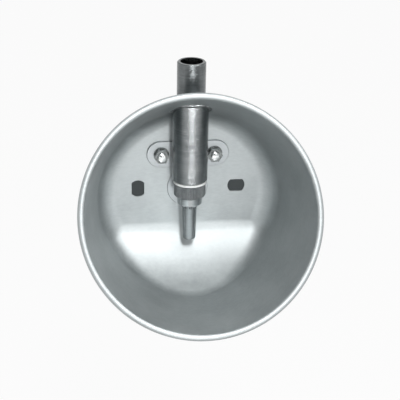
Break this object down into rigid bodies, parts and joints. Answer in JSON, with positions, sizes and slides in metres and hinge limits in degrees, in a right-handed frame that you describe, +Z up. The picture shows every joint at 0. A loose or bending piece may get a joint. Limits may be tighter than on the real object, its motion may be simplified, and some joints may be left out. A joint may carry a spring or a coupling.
{
  "type": "livestock drinking bowl",
  "caption": "Round wall-hung steel drinking bowl with a tilted mouth, a rolled edge and a push-pin valve on a vertical inlet pipe.",
  "frame": {"origin": "on the back of the mounting flat, midway between the two wall holes", "axes": "+Y into the wall, +Z up; the bowl opens towards -Y"},
  "size_m": [0.1744, 0.1282, 0.1762],
  "materials": {
    "bowl_steel": "satin",
    "disc_steel": "satin",
    "bracket_steel": "satin",
    "weld_steel": "rough",
    "fixing_steel": "satin",
    "socket_steel": "brushed round its axis",
    "pipe_steel": "turned",
    "nipple_steel": "turned, bright",
    "collar_steel": "matt, knurled",
    "pin_steel": "polished",
    "spring_steel": "drawn wire",
    "strainer_steel": "satin",
    "seal_rubber": "matt",
    "seal_nylon": "smooth",
    "seat_rubber": "matt",
    "inner_plastic": "moulded"
  },
  "bodies": {
    "bowl_body": {"bowl": "bowl_steel", "blanking_disc": "disc_steel", "bracket_plate": "bracket_steel", "bracket_welds": "weld_steel", "stud_left": "fixing_steel", "washer_left": "fixing_steel", "nut_left": "fixing_steel", "stud_right": "fixing_steel", "washer_right": "fixing_steel", "nut_right": "fixing_steel", "valve_socket": "socket_steel", "inlet_pipe": "pipe_steel", "pipe_seal": "seal_rubber", "nipple_body": "nipple_steel", "nipple_collar": "collar_steel", "nipple_seal": "seal_nylon", "valve_seat": "seat_rubber", "return_spring": "spring_steel", "spring_retainer": "nipple_steel", "flow_reducer": "inner_plastic", "strainer": "strainer_steel"},
    "pin_body": {"actuator_pin": "pin_steel"},
    "follower_body": {"spring_follower": "inner_plastic"}
  },
  "joints": [
    {"name": "pin_tilt", "type": "hinge", "parent": "bowl_body", "child": "pin_body", "pos_m": [0, -0.02465, 0.006], "axis": [1, 0, 0], "range_deg": [0, 8], "stiffness_Nm_per_rad": 0.6, "springref_deg": -5.73},
    {"name": "follower_lift", "type": "slide", "parent": "bowl_body", "child": "follower_body", "axis": [0, 0, 1], "range_m": [0, 0.0015], "deforming": ["return_spring"]}
  ],
  "couplings": [
    {"joint": "follower_lift", "follows": "pin_tilt", "m_per_rad": 0.0102}
  ]
}
